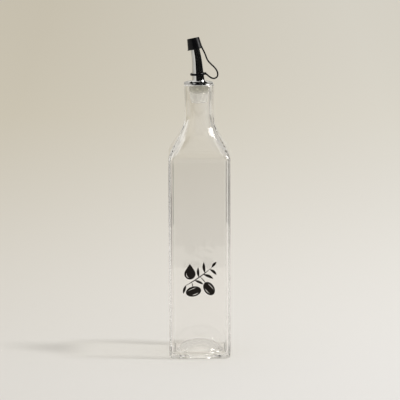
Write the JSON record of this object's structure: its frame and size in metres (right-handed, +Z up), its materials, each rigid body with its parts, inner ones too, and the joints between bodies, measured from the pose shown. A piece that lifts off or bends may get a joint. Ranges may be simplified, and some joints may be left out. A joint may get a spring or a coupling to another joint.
{
  "type": "oil dispenser bottle",
  "caption": "Tall clear square bottle for cooking oil, with a bent metal pouring spout on a flange, a plastic stopper in the neck and a small black cap tethered to the spout.",
  "frame": {"origin": "middle of the base, on the surface that the bottle stands on", "axes": "+Z up through the neck, -Y out of the printed front face, -X the side that the spout leans to"},
  "size_m": [0.058, 0.0581, 0.3022],
  "materials": {
    "clear_body": "clear acrylic, polished",
    "stopper": "translucent white moulded plastic, satin",
    "spout_metal": "bright polished",
    "cap_black": "black moulded, soft gloss",
    "print_ink": "printed ink, satin"
  },
  "bodies": {
    "root": {"bottle": "clear_body", "stopper_plug": "stopper", "pouring_spout": "spout_metal", "tip_cap_with_strap": "cap_black", "print_oil_drop": "print_ink", "print_leafy_sprig": "print_ink"}
  },
  "joints": []
}
